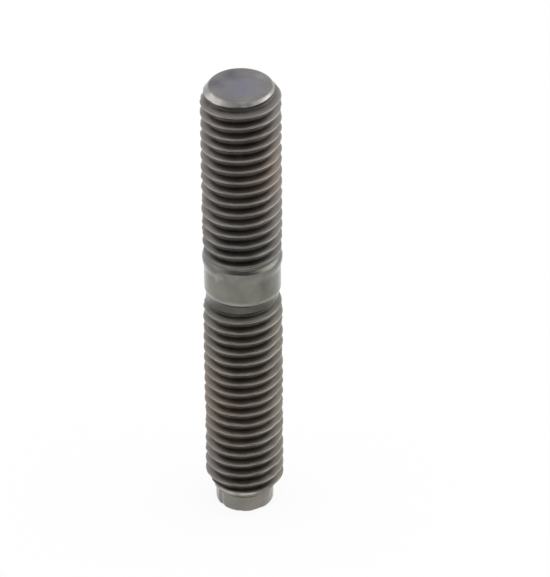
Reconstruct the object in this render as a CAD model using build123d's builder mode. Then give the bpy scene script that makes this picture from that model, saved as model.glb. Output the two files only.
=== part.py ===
"""Double ended stud, M8 x 50 with coarse threads, with a short plain shank and a dog point.

The stud stands on its dog point, with the axis along +Z and the origin at the centre of that face.
One blank of steel makes the whole stud: the two threads are rolled on, so it is a single solid.
"""

import os
from math import radians, sqrt, tan

from build123d import *

# Driving dimensions, in millimetres and degrees
overall_length = 49.65      # dog point face to top face: nominal 50, on the short side
crest_diameter = 7.97       # over the rolled crests of both M8 threads
dog_diameter = 5.86         # plain point below the lower thread
dog_height = 2.17
dog_edge_radius = 0.36      # rounding of the point's lower edge
lead_angle = 45.0           # lower lead cone, measured from the axis
shank_base = 25.75          # lower end of the shank, above the point's face
shank_length = 4.1          # from there to the middle of the rolled bead
shank_diameter = 7.68
lip_radius = 0.6            # rounding of the shank's lower lip
lip_drop = 0.16             # how far the lip curves in to the neck
neck_length = 0.6           # plain neck below the lip
run_out_length = 1.05       # taper from the neck out to the lower thread's crests
bead_diameter = 8.04        # crown of the bead rolled up above the shank
bead_radius = 0.8           # rounding of the bead
relief_depth = 0.165        # how far the last turn above the bead stays below full crest height
relief_length = 1.65        # from the middle of the bead
relief_taper = 0.5          # rise from the relief to full crests
top_face_diameter = 6.25
top_chamfer_angle = 36.0    # top chamfer, measured from the axis
top_edge_radius = 0.2       # rounding between the top face and its chamfer

# Radii and heights that follow
crest_radius = crest_diameter / 2
dog_radius = dog_diameter / 2
shank_radius = shank_diameter / 2
neck_radius = shank_radius - lip_drop
relief_radius = crest_radius - relief_depth
neck_base = shank_base - neck_length
top_face_radius = top_face_diameter / 2
lead_top = dog_height + (crest_radius - dog_radius) / tan(radians(lead_angle))
lip_top = shank_base + sqrt(2 * lip_radius * lip_drop - lip_drop**2)
bead_middle = shank_base + shank_length
relief_top = bead_middle + relief_length
chamfer_base = overall_length - (crest_radius - top_face_radius) / tan(radians(top_chamfer_angle))

with BuildPart() as stud:
    with BuildSketch(Plane.XZ) as half_section:
        # Half section of the blank, out from the axis
        with BuildLine():
            lower_end = Polyline(
                (0, 0),
                (dog_radius, 0),
                (dog_radius, dog_height),
                (crest_radius, lead_top),
                (crest_radius, neck_base - run_out_length),
                (neck_radius, neck_base),
                (neck_radius, shank_base),
            )
            lip = RadiusArc(lower_end @ 1, (shank_radius, lip_top), -lip_radius)
            upper_end = Polyline(
                lip @ 1,
                (shank_radius, bead_middle),
                (relief_radius, bead_middle),
                (relief_radius, relief_top),
                (crest_radius, relief_top + relief_taper),
                (crest_radius, chamfer_base),
                (top_face_radius, overall_length),
                (0, overall_length),
            )
            Line(upper_end @ 1, lower_end @ 0)
        make_face()
        # The rolled bead closes the shank's upper end
        with Locations((bead_diameter / 2 - bead_radius, bead_middle)):
            Circle(bead_radius)
        fillet(half_section.vertices().group_by(Axis.Y)[0].sort_by(Axis.X)[-1], dog_edge_radius)
        fillet(half_section.vertices().group_by(Axis.Y)[-1].sort_by(Axis.X)[-1], top_edge_radius)
    revolve(axis=Axis.Z)

stud.part.label = "stud"
os.makedirs("parts", exist_ok=True)
export_step(stud.part, "parts/stud.step")
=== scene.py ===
"""Looks of the double ended stud: its two rolled threads, its dark satin steel and a plain pale studio.

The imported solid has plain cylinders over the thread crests. The piece made here replaces it, with the
helical threads cut in and run out where the shank and the two ends stop them.
"""

from math import cos, pi, radians, sin, tan

import bpy
from mathutils import Matrix, Vector


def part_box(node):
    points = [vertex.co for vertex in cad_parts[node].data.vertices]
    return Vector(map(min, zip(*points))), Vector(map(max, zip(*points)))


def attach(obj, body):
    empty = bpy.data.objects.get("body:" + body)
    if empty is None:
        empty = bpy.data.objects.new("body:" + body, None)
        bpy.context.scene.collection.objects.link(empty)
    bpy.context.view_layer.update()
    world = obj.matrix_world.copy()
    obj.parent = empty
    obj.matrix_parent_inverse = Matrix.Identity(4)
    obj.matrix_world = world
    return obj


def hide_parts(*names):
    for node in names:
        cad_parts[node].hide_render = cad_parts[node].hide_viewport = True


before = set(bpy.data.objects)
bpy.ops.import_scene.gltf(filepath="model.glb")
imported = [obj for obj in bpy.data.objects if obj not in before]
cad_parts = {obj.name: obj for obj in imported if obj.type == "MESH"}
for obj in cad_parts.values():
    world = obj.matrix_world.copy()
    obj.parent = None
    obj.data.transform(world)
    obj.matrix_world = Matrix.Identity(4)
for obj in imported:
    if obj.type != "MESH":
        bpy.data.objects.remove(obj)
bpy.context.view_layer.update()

stud_low, stud_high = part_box("stud")

MM = 0.001


# Colours and nodes

MATH = "ShaderNodeMath"
NOISE = "ShaderNodeTexNoise"
RANGE = "ShaderNodeMapRange"            # takes a value, the range it runs over, and what it turns to

# The two colours of a Mix node, by number, because its plain values have the same names
MIX_FROM = 6
MIX_TO = 7


def linear(code):
    """An sRGB hex colour as linear red, green, blue and alpha."""
    parts = [int(code[i:i + 2], 16) / 255 for i in (0, 2, 4)]
    return [p / 12.92 if p <= 0.04045 else ((p + 0.055) / 1.055) ** 2.4 for p in parts] + [1.0]


def add(tree, kind, *values, named=None, **settings):
    """Adds a node, with its settings. Values go to its inputs in order, and named ones by name.

    A value is a number, a colour, an output, or a node, which gives its first output in use.
    """
    node = tree.nodes.new(kind)
    for name, setting in settings.items():
        setattr(node, name, setting)
    for key, value in [*enumerate(values), *(named or {}).items()]:
        if isinstance(value, bpy.types.Node):
            value = next(output for output in value.outputs if output.enabled)
        if isinstance(value, bpy.types.NodeSocket):
            tree.links.new(value, node.inputs[key])
        else:
            node.inputs[key].default_value = value
    return node


def emptied_tree(owner):
    """The node tree of a material or a world, with nothing in it yet."""
    owner.use_nodes = True
    owner.node_tree.nodes.clear()
    return owner.node_tree


def set_stops(ramp, stops):
    """Gives a colour ramp its stops, each a share and a colour, from the lowest to the highest."""
    elements = ramp.color_ramp.elements
    for element, (share, colour) in zip(elements, (stops[0], stops[-1])):
        element.position = share
        element.color = colour
    for share, colour in stops[1:-1]:
        elements.new(share).color = colour


# Sizes of the stud, in metres. Heights are measured up from the dog point's face.

length = stud_high.z - stud_low.z - 0.002 * MM   # a hair inside the solid
pitch = 1.25 * MM                       # M8 coarse
crest_radius = 4.015 * MM               # of the thread, before its blends and its taper
dog_radius = 2.93 * MM
dog_edge_radius = 0.36 * MM
undercut = 0.06 * MM                    # in from the dog point, below its step
point_step = 0.36 * MM                  # out from the undercut, to the foot of the lead cone
top_face_radius = 3.125 * MM
top_edge_radius = 0.35 * MM             # softer than the solid's
top_chamfer = radians(36)               # from the axis

# The top edge's rounding meets the face and the chamfer this far from their sharp corner
top_edge_reach = top_edge_radius * tan((pi / 2 - top_chamfer) / 2)
top_edge_start = length - top_edge_reach * cos(top_chamfer)

# The sheet's own measure, its way, runs from the middle of the point's face, out, up the side and in
# to the middle of the top face. Both rounded edges are given more of it than their length, for more
# rows.
dog_edge_share = 0.75 * MM
top_edge_share = 0.8 * MM
side_shift = dog_edge_share - dog_edge_radius
side_end = top_edge_start + side_shift

COLUMNS = 96                            # around one turn
ROWS_PER_TURN = 20                      # along one pitch
row_step = pitch / ROWS_PER_TURN
sheet_start = -(dog_radius - dog_edge_radius) - pitch / 2
sheet_end = side_end + top_edge_share + top_face_radius + pitch / 2
ROWS = int((sheet_end - sheet_start) / row_step) + 1

SIZES = {
    "Row step": row_step,
    "Sheet start": sheet_start,
    "Dog radius": dog_radius,
    "Dog edge radius": dog_edge_radius,
    "Dog edge share": dog_edge_share,
    "Side shift": side_shift,
    "Side end": side_end,
    "Top edge share": top_edge_share,
    "Top edge radius": top_edge_radius,
    "Top chamfer": top_chamfer,
    "Top flat radius": top_face_radius - top_edge_reach,
    "Pitch": pitch,
    "Thread depth": 0.767 * MM,
    "Flank slope": tan(radians(60)),    # a metric thread's flanks stand 60 degrees from its axis
    "Crest flat": 0.07 * MM,
    "Crest rounding": 0.05 * MM,
    "Root rounding": 0.16 * MM,
    "Crest radius": crest_radius,
    "Taper height": 29.85 * MM,         # the crests narrow below it
    "Crest taper": 0.0014,              # radius lost for each unit of height
    "Lower crest height": 24.123 * MM,  # of one crest of the lower thread, at the front
    "Upper crest height": 48.196 * MM,  # of one crest of the upper thread, at the front
    "Outline blend": 0.08 * MM,         # where the threads meet the outline
    "Shank middle": 28.25 * MM,
    "Shank half": 2.1 * MM,             # half its height
    "Shank step": 0.16 * MM,            # from the crests in to the plain shank
    "Groove limit": 5.0,                # a groove counts up to so many times what it cuts away
    "Lip height": 26.2 * MM,
    "Lip reach": 0.25 * MM,             # of the knocks on it, up and down
    "Crest reach": 0.15,                # of the knocks on crests, as a share of the thread's depth
    "Knock scale": 0.7 / MM,            # about 1.4 mm from one to the next
    "Knock lift": 4.0 * MM,             # moves their pattern along the stud
    "Knock start": 0.54,                # level of the pattern where a knock starts
    "Knock bottom": 0.68,               # and where it is deepest
    "Nick": 0.1 * MM,                   # its depth there
    "Nick limit": 0.03,                 # the most it may take, as a share of the radius
    "Die mark": 0.012 * MM,             # height of the unevenness that the rolling leaves
    "Die mark scale": 0.9 / MM,         # about 1.1 mm from one to the next
    "Die mark level": 0.75,             # level of the pattern left as it is: most of it goes inwards
    "Seam gap": 0.0002 * MM,            # points nearer than this are joined
}

# The outline under the threads, as rises of radius between two heights, from the point upwards
RISES = {
    "Undercut": (1.86 * MM, 1.96 * MM, -undercut),
    "Point step": (2.1 * MM, 2.16 * MM, point_step),
    "Lead cone": (2.7 * MM, 3.25 * MM, crest_radius - dog_radius + undercut - point_step),
    "Run-out": (24.1 * MM, 25.15 * MM, -0.4 * MM),
    "Lip": (25.7 * MM, 26.3 * MM, 0.225 * MM),
    "Bead": (28.6 * MM, 29.85 * MM, 0.19 * MM),
    "Bead foot": (29.9 * MM, 30.45 * MM, -0.24 * MM),
    "First turn": (30.45 * MM, 30.6 * MM, 0.12 * MM),
    "Full crests": (31.5 * MM, 32.0 * MM, 0.1 * MM),
}

# The rises that are rounded at both ends
SOFT_RISES = ("Lip", "Bead")

# Where each thread's groove fades, as two heights: none at the first, full depth at the second
FADES = {
    "Lower": (25.95 * MM, 24.8 * MM),
    "Upper": (29.85 * MM, 31.2 * MM),
}

for name, ends in {**RISES, **FADES}.items():
    for end, value in zip(("from", "to", "by"), ends):
        SIZES[f"{name} {end}"] = value


# The stud's mesh: a sheet whose rows climb one pitch in a turn, wrapped round the outline. Each of the
# functions below adds its part of one node tree, and takes the tree's named inputs as size.

def flat_sheet(tree, size):
    """The flat sheet, and each point's turn, its row's height at the front, and its way.

    The turn runs from -0.5 at the back, by 0 at the front, to 0.5.
    """
    across = add(tree, MATH, size["Columns"], 1, operation="ADD")
    along = add(tree, MATH, size["Rows"], 1, operation="ADD")
    sheet = add(tree, "GeometryNodeMeshGrid", 1, 1, across, along)
    place = add(tree, "ShaderNodeSeparateXYZ", add(tree, "GeometryNodeInputPosition"))
    turn = place.outputs["X"]
    up_share = add(tree, MATH, place.outputs["Y"], 0.5, operation="ADD")
    row = add(tree, MATH, up_share, size["Rows"], operation="MULTIPLY")
    row_height = add(tree, MATH, row, size["Row step"], size["Sheet start"], operation="MULTIPLY_ADD")
    way = add(tree, MATH, turn, size["Pitch"], row_height, operation="MULTIPLY_ADD")
    return sheet, turn, row_height, way


def dog_end(tree, size, way):
    """The dog point's reach from the axis and its rise, over its face and its rounded lower edge."""
    angle = add(tree, RANGE, way, 0, size["Dog edge share"], 0, pi / 2)
    sine = add(tree, MATH, angle, operation="SINE")
    out = add(tree, MATH, sine, size["Dog edge radius"], operation="MULTIPLY")
    cosine = add(tree, MATH, angle, operation="COSINE")
    upwards = add(tree, MATH, 1, cosine, operation="SUBTRACT")
    rise = add(tree, MATH, upwards, size["Dog edge radius"], operation="MULTIPLY")
    face_way = add(tree, MATH, way, 0, operation="MINIMUM")
    face_radius = add(tree, MATH, size["Dog radius"], size["Dog edge radius"], operation="SUBTRACT")
    face_reach = add(tree, MATH, face_radius, face_way, operation="ADD")
    return add(tree, MATH, face_reach, out, operation="ADD"), rise


def top_end(tree, size, way):
    """The reach and the rise over the top chamfer, its rounded edge and the top face."""
    edge_end = add(tree, MATH, size["Side end"], size["Top edge share"], operation="ADD")
    angle = add(tree, RANGE, way, size["Side end"], edge_end, size["Top chamfer"], pi / 2)
    cosine = add(tree, MATH, angle, operation="COSINE")
    edge_out = add(tree, MATH, cosine, size["Top edge radius"], size["Top flat radius"],
                   operation="MULTIPLY_ADD")
    sine = add(tree, MATH, angle, operation="SINE")
    first_sine = add(tree, MATH, size["Top chamfer"], operation="SINE")
    risen = add(tree, MATH, sine, first_sine, operation="SUBTRACT")
    rise = add(tree, MATH, risen, size["Top edge radius"], operation="MULTIPLY")
    to_edge = add(tree, MATH, size["Side end"], way, operation="SUBTRACT")
    before_edge = add(tree, MATH, to_edge, 0, operation="MAXIMUM")
    slope = add(tree, MATH, size["Top chamfer"], operation="TANGENT")
    chamfer_out = add(tree, MATH, before_edge, slope, edge_out, operation="MULTIPLY_ADD")
    from_edge = add(tree, MATH, way, edge_end, operation="SUBTRACT")
    past_edge = add(tree, MATH, from_edge, 0, operation="MAXIMUM")
    return add(tree, MATH, chamfer_out, past_edge, operation="SUBTRACT"), rise


def height_of(tree, size, way, dog_rise, top_rise):
    """The height: level on both faces, and up the side the way itself, shifted."""
    side_way = add(tree, "ShaderNodeClamp", way, size["Dog edge share"], size["Side end"])
    side_height = add(tree, MATH, side_way, size["Dog edge share"], operation="SUBTRACT")
    lower_height = add(tree, MATH, side_height, dog_rise, operation="ADD")
    return add(tree, MATH, top_rise, lower_height, operation="ADD")


def side_outline(tree, size, height, dog_reach):
    """The radius under the threads, and the same without what comes above the lead cone."""
    outline = dog_reach
    for name in RISES:
        shape = "SMOOTHSTEP" if name in SOFT_RISES else "LINEAR"
        rise = add(tree, RANGE, height, size[f"{name} from"], size[f"{name} to"], 0,
                   size[f"{name} by"], interpolation_type=shape)
        outline = add(tree, MATH, outline, rise, operation="ADD")
        if name == "Lead cone":
            lower_end = outline
    return outline, lower_end


def crest_line(tree, size, height):
    """The radius over the crests: full above the shank, and a little less towards the point."""
    to_taper = add(tree, MATH, size["Taper height"], height, operation="SUBTRACT")
    below = add(tree, MATH, to_taper, 0, operation="MAXIMUM")
    narrowing = add(tree, MATH, size["Crest taper"], -1, operation="MULTIPLY")
    return add(tree, MATH, below, narrowing, size["Crest radius"], operation="MULTIPLY_ADD")


def thread_groove(tree, size, name, row_height, height):
    """One thread's depth under its crests, from the distance along the axis to the nearest crest."""
    plain_height = add(tree, MATH, row_height, size["Side shift"], operation="SUBTRACT")
    climb = add(tree, MATH, plain_height, size[f"{name} crest height"], operation="SUBTRACT")
    turns = add(tree, MATH, climb, size["Pitch"], operation="DIVIDE")
    half_on = add(tree, MATH, turns, 0.5, operation="ADD")
    part = add(tree, MATH, half_on, operation="FRACT")
    past_crest = add(tree, MATH, part, 0.5, operation="SUBTRACT")
    off_crest = add(tree, MATH, past_crest, operation="ABSOLUTE")
    distance = add(tree, MATH, off_crest, size["Pitch"], operation="MULTIPLY")
    half_flat = add(tree, MATH, size["Crest flat"], 0.5, operation="MULTIPLY")
    past_flat = add(tree, MATH, distance, half_flat, operation="SUBTRACT")
    flank = add(tree, MATH, past_flat, size["Flank slope"], operation="MULTIPLY")
    rounded = add(tree, MATH, flank, 0, size["Crest rounding"], operation="SMOOTH_MAX")
    depth = add(tree, MATH, rounded, size["Thread depth"], size["Root rounding"],
                operation="SMOOTH_MIN")
    fade = add(tree, RANGE, height, size[f"{name} from"], size[f"{name} to"], 0, 1,
               interpolation_type="SMOOTHSTEP")
    return add(tree, MATH, depth, fade, operation="MULTIPLY")


def clear_of_shank(tree, size, height):
    """1 above and below the plain shank, and 0 on it."""
    from_middle = add(tree, MATH, height, size["Shank middle"], operation="SUBTRACT")
    distance = add(tree, MATH, from_middle, operation="ABSOLUTE")
    return add(tree, MATH, distance, size["Shank half"], operation="GREATER_THAN")


def depth_share(tree, size, crest, ends, clear, groove, whole):
    """How deep each point lies under the unthreaded blank, as a share of the thread's depth."""
    on_shank = add(tree, MATH, 1, clear, operation="SUBTRACT")
    step_in = add(tree, MATH, on_shank, size["Shank step"], operation="MULTIPLY")
    side = add(tree, MATH, crest, step_in, operation="SUBTRACT")
    blank = add(tree, MATH, side, ends, operation="MINIMUM")
    under = add(tree, MATH, blank, whole, operation="SUBTRACT")
    most = add(tree, MATH, under, size["Groove limit"], operation="MULTIPLY")
    well_under = add(tree, MATH, groove, most, operation="MINIMUM")
    deep = add(tree, MATH, under, well_under, operation="MAXIMUM")
    return add(tree, MATH, deep, size["Thread depth"], operation="DIVIDE")


def knocks(tree, size, sine, cosine, height, share, clear, whole):
    """How far knocks go in, on the crests, both ends and the shank's lip.

    Their pattern lies round the stud, so that it closes at the back, and their limit closes the poles.
    """
    on_crest = add(tree, RANGE, share, 0, size["Crest reach"], clear, 0)
    past_lip = add(tree, MATH, height, size["Lip height"], operation="SUBTRACT")
    from_lip = add(tree, MATH, past_lip, operation="ABSOLUTE")
    on_lip = add(tree, RANGE, from_lip, 0, size["Lip reach"], 1, 0)
    exposed = add(tree, MATH, on_crest, on_lip, operation="MAXIMUM")
    across = add(tree, MATH, sine, size["Crest radius"], operation="MULTIPLY")
    deep = add(tree, MATH, cosine, size["Crest radius"], operation="MULTIPLY")
    lifted = add(tree, MATH, height, size["Knock lift"], operation="ADD")
    place = add(tree, "ShaderNodeCombineXYZ", across, deep, lifted)
    pattern = add(tree, NOISE, named={"Vector": place, "Scale": size["Knock scale"], "Detail": 1.0})
    blow = add(tree, RANGE, pattern.outputs["Fac"], size["Knock start"], size["Knock bottom"], 0,
               size["Nick"])
    knock = add(tree, MATH, blow, exposed, operation="MULTIPLY")
    limit = add(tree, MATH, whole, size["Nick limit"], operation="MULTIPLY")
    return add(tree, MATH, knock, limit, operation="MINIMUM")


def wrapped_place(tree, size, sine, cosine, radius, height):
    """Each point's place round the axis, with the die's small unevenness."""
    x = add(tree, MATH, sine, radius, operation="MULTIPLY")
    minus_radius = add(tree, MATH, radius, -1, operation="MULTIPLY")
    y = add(tree, MATH, cosine, minus_radius, operation="MULTIPLY")
    place = add(tree, "ShaderNodeCombineXYZ", x, y, height)
    pattern = add(tree, NOISE, named={"Vector": place, "Scale": size["Die mark scale"], "Detail": 2.0})
    level = add(tree, MATH, pattern.outputs["Fac"], size["Die mark level"], operation="SUBTRACT")
    mark = add(tree, MATH, level, size["Die mark"], operation="MULTIPLY")
    outwards = add(tree, "ShaderNodeCombineXYZ", x, y, 0)
    unit = add(tree, "ShaderNodeVectorMath", outwards, operation="NORMALIZE")
    push = add(tree, "ShaderNodeVectorMath", unit, named={"Scale": mark}, operation="SCALE")
    return add(tree, "ShaderNodeVectorMath", place, push, operation="ADD")


def stud_tree():
    """The node tree that wraps the sheet, and the identifiers of its named inputs."""
    tree = bpy.data.node_groups.new("rolled_stud", "GeometryNodeTree")
    kinds = {**dict.fromkeys(SIZES, "Float"), "Columns": "Int", "Rows": "Int", "Steel": "Material"}
    identifiers = {}
    for name, kind in kinds.items():
        socket = tree.interface.new_socket(name, in_out="INPUT", socket_type=f"NodeSocket{kind}")
        identifiers[name] = socket.identifier
    tree.interface.new_socket("Mesh", in_out="OUTPUT", socket_type="NodeSocketGeometry")
    size = add(tree, "NodeGroupInput").outputs

    # Height and outline
    sheet, turn, row_height, way = flat_sheet(tree, size)
    dog_reach, dog_rise = dog_end(tree, size, way)
    top_reach, top_rise = top_end(tree, size, way)
    height = height_of(tree, size, way, dog_rise, top_rise)
    outline, lower_end = side_outline(tree, size, height, dog_reach)

    # The threads, cut into the outline and cut back by the top chamfer
    crest = crest_line(tree, size, height)
    grooves = [thread_groove(tree, size, name, row_height, height) for name in FADES]
    groove = add(tree, MATH, *grooves, operation="ADD")
    thread = add(tree, MATH, crest, groove, operation="SUBTRACT")
    lowered = add(tree, MATH, outline, thread, size["Outline blend"], operation="SMOOTH_MIN")
    cut = add(tree, MATH, lowered, top_reach, operation="MINIMUM")
    whole = add(tree, MATH, cut, 0, operation="MAXIMUM")
    clear = clear_of_shank(tree, size, height)
    ends = add(tree, MATH, lower_end, top_reach, operation="MINIMUM")
    share = depth_share(tree, size, crest, ends, clear, groove, whole)

    # Knocks and marks, and the place
    angle = add(tree, MATH, turn, 2 * pi, operation="MULTIPLY")
    sine = add(tree, MATH, angle, operation="SINE")
    cosine = add(tree, MATH, angle, operation="COSINE")
    knock = knocks(tree, size, sine, cosine, height, share, clear, whole)
    radius = add(tree, MATH, whole, knock, operation="SUBTRACT")
    place = wrapped_place(tree, size, sine, cosine, radius, height)

    # The depth is stored while the sheet is still flat, and then the sheet is wrapped
    tagged = add(tree, "GeometryNodeStoreNamedAttribute", sheet,
                 named={"Name": "groove", "Value": share}, data_type="FLOAT", domain="POINT")
    wrapped = add(tree, "GeometryNodeSetPosition", tagged, named={"Position": place})
    closed = add(tree, "GeometryNodeMergeByDistance", wrapped, named={"Distance": size["Seam gap"]})
    soft = add(tree, "GeometryNodeSetShadeSmooth", closed)
    real = add(tree, "GeometryNodeRealizeInstances", soft)
    painted = add(tree, "GeometryNodeSetMaterial", real, named={"Material": size["Steel"]})
    add(tree, "NodeGroupOutput", painted)
    return tree, identifiers


def make_stud(steel):
    """The stud as one closed plain mesh."""
    tree, identifiers = stud_tree()
    holder = bpy.data.objects.new("sheet", bpy.data.meshes.new("sheet"))
    bpy.context.scene.collection.objects.link(holder)
    modifier = holder.modifiers.new("wrap", "NODES")
    modifier.node_group = tree
    for name, value in {**SIZES, "Columns": COLUMNS, "Rows": ROWS, "Steel": steel}.items():
        modifier[identifiers[name]] = value
    depsgraph = bpy.context.evaluated_depsgraph_get()
    mesh = bpy.data.meshes.new_from_object(holder.evaluated_get(depsgraph))
    bpy.data.objects.remove(holder)
    mesh.name = "rolled_stud"
    stud = bpy.data.objects.new("rolled_stud", mesh)
    bpy.context.scene.collection.objects.link(stud)
    return stud


# Finishes

# The cast of the bare steel, as shares of the way up
CASTS = (
    (0.0, "7E7C74"),
    (0.06, "767169"),
    (0.45, "767068"),
    (0.53, "6F6F66"),
    (0.6, "72716A"),
    (0.66, "76726E"),
    (1.0, "76726E"),
)
CAST_DRIFT = 6 * MM                     # how far it may slide up and down from place to place

# Rubbed places, burnished and carrying a painted highlight along the edges, as two heights and how
# bright: ring above the point, both threads' crests, the shank's lip and the rim of the top face
RUBBED_AND_HIGHLIT = (
    (2.16 * MM, 2.75 * MM, 0.6),
    (3.3 * MM, 24.8 * MM, 0.15),
    (26.15 * MM, 26.45 * MM, 0.3),
    (30.6 * MM, 48.4 * MM, 0.15),
    (48.95 * MM, 49.62 * MM, 0.8),
)
RUB_AND_HIGHLIGHT_FADE = 0.1 * MM
LAST_SHARE = 0.9999                     # the last stop stays just under the ramp's own end
# The lighter colour of the burnish and of the painted highlight
BURNISH_AND_HIGHLIGHT = "B4B1AC"

# Smudges, scuffs, tints of old oil and patches of painted shade: middle and reach in millimetres,
# strength, colour
SMUDGES_AND_SHADING = (
    ((0.0, -0.5, 49.65), 3.9, 0.95, "6D6B7A"),
    # Painted shade: dark patches on the left and right of the bead, where it meets the shank and the
    # thread
    ((-3.9, -0.8, 29.8), 1.9, 0.8, "55535C"),
    ((3.9, -0.8, 29.9), 1.7, 0.7, "57585A"),
    ((2.2, 1.6, 49.65), 1.0, 0.5, "908F93"),
    # Painted shade along the rear edge of the top face
    ((0.0, 2.9, 49.65), 1.2, 0.5, "626360"),
    ((-3.0, -2.5, 13.0), 8.0, 0.6, "867469"),
    ((3.2, -2.2, 41.0), 8.0, 0.6, "87786D"),
    ((-3.0, -2.5, 46.5), 3.0, 0.5, "8D7D79"),
    ((-3.2, -2.4, 5.5), 3.5, 0.5, "7B707A"),
    ((-0.8, 1.9, 49.65), 1.8, 0.9, "4E4D54"),
    ((-2.5, 0.3, 49.65), 1.5, 0.85, "4E4D54"),
    ((2.0, -3.3, 28.3), 1.0, 0.6, "54534C"),
    ((-2.4, -3.0, 29.1), 0.9, 0.7, "96948C"),
)
PATCH_TEAR = 2.0 * MM                  # how ragged their edges are
# Colour of the grooves' darkening: oil and fines, and painted shade in the recesses
OIL_AND_SHADE = "26221E"

# Patterns of noise in the steel, as patches to a metre and their finer detail
PATTERNS = {
    "drift": (0.25 / MM, 3.0),          # 4 mm from patch to patch
    "patches": (0.6 / MM, 2.0),         # 1.7 mm
    "mottle": (0.5 / MM, 5.0),          # 2 mm
    "rags": (0.9 / MM, 3.0),            # 1.1 mm
}

# How the finish responds to a pattern's level, to the groove's depth or to a place: the two bounds it
# changes between, and what it is at each
RESPONSES = {
    # The burnish and painted highlight go only on what stands clear of the grooves
    "proud": (0.02, 0.12, 1.0, 0.0),            # only what stands clear of the grooves is rubbed
    "rub_and_highlight_patches": (0.42, 0.58, 0.3, 1.1),          # and more in some patches than in others
    "mottle": (0.3, 0.7, 0.8, 1.2),             # darker to lighter
    "oil_and_shade": (0.04, 0.7, 0.0, 0.9),           # from just off the crests down to the root
    "groove_patchiness": (0.35, 0.65, 1.0, 0.8),          # a little less in some patches
    # Painted light: the groove darkening is halved on the right side, which shows lighter there
    "right_side_lift": (2.2 * MM, 3.7 * MM, 1.0, 0.5),    # and half as much on the right side
    "roughness": (0.0, 1.0, 0.23, 0.42),        # from the crests to the root
}


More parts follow.
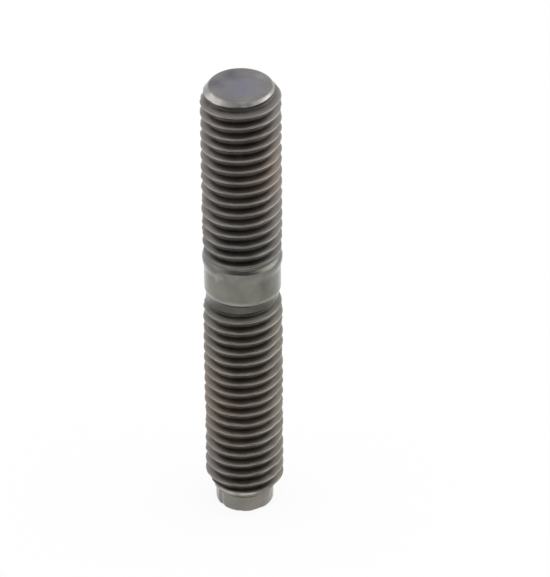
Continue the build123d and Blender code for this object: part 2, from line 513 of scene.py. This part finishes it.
def rolled_steel():
    """Plain carbon steel as it leaves the thread rollers: dark, satin, a little oily.

    It gives the eye thin crests, burnished and with a painted highlight, near-black grooves from oil and
    fines and from painted shade, a soft brown and olive cast that drifts over the stud, lavender tints
    on the top face, and painted shade beside the bead and on the top face's rear edge.
    """
    material = bpy.data.materials.new("dark rolled steel")
    tree = emptied_tree(material)
    place = add(tree, "ShaderNodeTexCoord").outputs["Object"]
    separate = add(tree, "ShaderNodeSeparateXYZ", place).outputs
    groove = add(tree, "ShaderNodeAttribute", attribute_name="groove").outputs["Fac"]
    noise = {}
    for name, (scale, detail) in PATTERNS.items():
        named = {"Vector": place, "Scale": scale, "Detail": detail}
        noise[name] = add(tree, NOISE, named=named).outputs

    # The steel's cast: browner down the lower thread and olive on the shank
    shifted = add(tree, MATH, noise["drift"]["Fac"], CAST_DRIFT, separate["Z"], operation="MULTIPLY_ADD")
    cast_share = add(tree, RANGE, shifted, CAST_DRIFT / 2, length + CAST_DRIFT / 2, 0.0, 1.0)
    colour = add(tree, "ShaderNodeValToRGB", cast_share)
    set_stops(colour, [(share, linear(code)) for share, code in CASTS])

    # Rims that other steel has rubbed are burnished lighter, and the same bands carry a painted
    # highlight along the edges and crests
    levels = [(0.0, 0.0)]
    for low, high, level in RUBBED_AND_HIGHLIT:
        levels += [(low - RUB_AND_HIGHLIGHT_FADE, 0.0), (low, level), (high, level), (high + RUB_AND_HIGHLIGHT_FADE, 0.0)]
    stops = [(min(height / length, LAST_SHARE), [level] * 3 + [1.0]) for height, level in levels]
    rim_share = add(tree, RANGE, separate["Z"], 0.0, length, 0.0, 1.0)
    rims = add(tree, "ShaderNodeValToRGB", rim_share)
    set_stops(rims, [*stops, (1.0, linear("000000"))])
    proud = add(tree, RANGE, groove, *RESPONSES["proud"])
    rub_and_highlight_patches = add(tree, RANGE, noise["patches"]["Fac"], *RESPONSES["rub_and_highlight_patches"])
    worn_and_highlit = add(tree, MATH, rims.outputs["Color"], proud, operation="MULTIPLY")
    wear_and_highlight = add(tree, MATH, worn_and_highlit, rub_and_highlight_patches, operation="MULTIPLY")
    colour = add(tree, "ShaderNodeMix", wear_and_highlight, named={MIX_FROM: colour, MIX_TO: linear(BURNISH_AND_HIGHLIGHT)},
                 data_type="RGBA")

    # A mottle of lighter and darker patches, as the oil dries
    shade = add(tree, RANGE, noise["mottle"]["Fac"], *RESPONSES["mottle"])
    colour = add(tree, "ShaderNodeVectorMath", colour, named={"Scale": shade}, operation="SCALE")

    # Smudges and scuffs, and painted shade beside the bead and on the top face's rear edge, with ragged
    # edges
    middle_grey = (0.5, 0.5, 0.5)
    spread = add(tree, "ShaderNodeVectorMath", noise["rags"]["Color"], middle_grey, operation="SUBTRACT")
    pushed = add(tree, "ShaderNodeVectorMath", spread, named={"Scale": PATCH_TEAR}, operation="SCALE")
    torn = add(tree, "ShaderNodeVectorMath", place, pushed, operation="ADD")
    for middle, reach, strength, code in SMUDGES_AND_SHADING:
        centre = [part * MM for part in middle]
        off = add(tree, "ShaderNodeVectorMath", torn, centre, operation="DISTANCE")
        spot = add(tree, RANGE, off.outputs["Value"], 0.0, reach * MM, strength, 0.0,
                   interpolation_type="SMOOTHSTEP")
        colour = add(tree, "ShaderNodeMix", spot, named={MIX_FROM: colour, MIX_TO: linear(code)},
                     data_type="RGBA")

    # Oil and fines darken the grooves, and the same darkening is painted shade down in them
    darkening = add(tree, RANGE, groove, *RESPONSES["oil_and_shade"])
    groove_patchiness = add(tree, RANGE, noise["patches"]["Fac"], *RESPONSES["groove_patchiness"])
    patchy_darkening = add(tree, MATH, darkening, groove_patchiness, operation="MULTIPLY")
    # Painted light: less of the groove darkening on the right side
    right_side_lift = add(tree, RANGE, separate["X"], *RESPONSES["right_side_lift"])
    oil_and_shade = add(tree, MATH, patchy_darkening, right_side_lift, operation="MULTIPLY")
    colour = add(tree, "ShaderNodeMix", oil_and_shade, named={MIX_FROM: colour, MIX_TO: linear(OIL_AND_SHADE)},
                 data_type="RGBA")
    roughness = add(tree, RANGE, groove, *RESPONSES["roughness"])

    # Marks of the rolling round the stud: 0.7 mm patches pressed flat to about 0.13 mm, which is
    # coarser than the real ones, so that they show
    pressed = add(tree, "ShaderNodeMapping", place, named={"Scale": (1.0, 1.0, 5.0)})
    marks = add(tree, NOISE, named={"Vector": pressed, "Scale": 1.5 / MM, "Detail": 4.0})
    relief = add(tree, "ShaderNodeBump",
                 named={"Height": marks.outputs["Fac"], "Strength": 0.5, "Distance": 0.01 * MM})

    # The coat is the film of oil
    shader = add(tree, "ShaderNodeBsdfPrincipled",
                 named={"Base Color": colour, "Roughness": roughness, "Metallic": 1.0,
                        "Normal": relief, "Coat Weight": 0.5, "Coat Roughness": 0.25})
    add(tree, "ShaderNodeOutputMaterial", shader)
    return material


WHITE_SHARE = 0.9                       # of the board, in straight views and reflections


def white_board():
    """The studio's floor: matt white board.

    Straight views and reflections see most of it as plain white, so the stud's soft shadow stays faint.
    """
    material = bpy.data.materials.new("matt white board")
    tree = emptied_tree(material)
    board = add(tree, "ShaderNodeBsdfDiffuse", linear("FAFAFA"))
    white = add(tree, "ShaderNodeEmission", linear("FFFFFF"), 1.0)
    path = add(tree, "ShaderNodeLightPath").outputs
    gloss = add(tree, MATH, path["Is Glossy Ray"], path["Is Transmission Ray"], operation="ADD")
    seen = add(tree, MATH, path["Is Camera Ray"], gloss, operation="ADD")
    share = add(tree, MATH, seen, WHITE_SHARE, operation="MULTIPLY")
    both = add(tree, "ShaderNodeMixShader", share, board, white)
    add(tree, "ShaderNodeOutputMaterial", both)
    return material


# The piece

stud = make_stud(rolled_steel())
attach(stud, "root")
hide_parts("stud")


# The studio

# The dim part of the light: where it is, how low and wide it is, and how the light falls off into it
DIM_TOWARDS = (0, -1, 0)                # the front of the stud
DIM_SHAPE = (0.8, 1.0, 2.0)
DIM_FALL = (0.3, 0.95, 1.0, 0.1)

# The fuller light from the sides: how close it keeps to them, and how much more comes from the right
SIDE_POWER = 4
SIDE_TILT = 0.6


def make_floor():
    """A wide level floor under the stud."""
    half = 3.0
    mesh = bpy.data.meshes.new("floor")
    corners = [(x * half, y * half, stud_low.z) for x, y in ((-1, -1), (1, -1), (1, 1), (-1, 1))]
    mesh.from_pydata(corners, [], [(0, 1, 2, 3)])
    mesh.materials.append(white_board())
    floor = bpy.data.objects.new("floor", mesh)
    bpy.context.scene.collection.objects.link(floor)


def make_world():
    """Soft white light from all round: dimmer from the front, fuller from the sides."""
    world = bpy.data.worlds.new("white room")
    bpy.context.scene.world = world
    tree = emptied_tree(world)
    direction = add(tree, "ShaderNodeTexCoord").outputs["Generated"]
    shaped = add(tree, "ShaderNodeVectorMath", direction, DIM_SHAPE, operation="MULTIPLY")
    aim = add(tree, "ShaderNodeVectorMath", shaped, operation="NORMALIZE")
    towards = add(tree, "ShaderNodeVectorMath", aim, DIM_TOWARDS, operation="DOT_PRODUCT")
    dim = add(tree, RANGE, towards.outputs["Value"], *DIM_FALL, interpolation_type="SMOOTHSTEP")
    aside = add(tree, "ShaderNodeSeparateXYZ", direction).outputs["X"]
    either_side = add(tree, MATH, aside, operation="ABSOLUTE")
    sides = add(tree, MATH, either_side, SIDE_POWER, operation="POWER")
    tilt = add(tree, MATH, aside, SIDE_TILT, 1.0, operation="MULTIPLY_ADD")
    strength = add(tree, MATH, sides, tilt, dim, operation="MULTIPLY_ADD")
    light = add(tree, "ShaderNodeBackground", linear("FFFFFF"), strength)
    add(tree, "ShaderNodeOutputWorld", light)


def make_camera():
    """A long lens that looks down at the stud from the front."""
    elevation = radians(34.25)
    roll = radians(-0.373)
    distance = 471.1 * MM
    aside = -3.215 * MM                 # how far the stud's middle is off the lens's line
    above = -0.748 * MM
    forward = Vector((0, cos(elevation), -sin(elevation)))
    level = Vector((1, 0, 0))
    upright = Vector((0, sin(elevation), cos(elevation)))
    right = level * cos(roll) + upright * sin(roll)
    up = upright * cos(roll) - level * sin(roll)
    middle = (stud_low + stud_high) / 2
    spot = middle - right * aside - up * above - forward * distance
    data = bpy.data.cameras.new("camera")
    data.lens = 294.4
    data.sensor_width = 36
    data.clip_start = 10 * MM
    camera = bpy.data.objects.new("camera", data)
    turned = Matrix((right, up, -forward)).transposed()
    camera.matrix_world = Matrix.Translation(spot) @ turned.to_4x4()
    bpy.context.scene.collection.objects.link(camera)
    bpy.context.scene.camera = camera


make_floor()
make_world()
make_camera()
bpy.context.scene.view_settings.view_transform = "Standard"
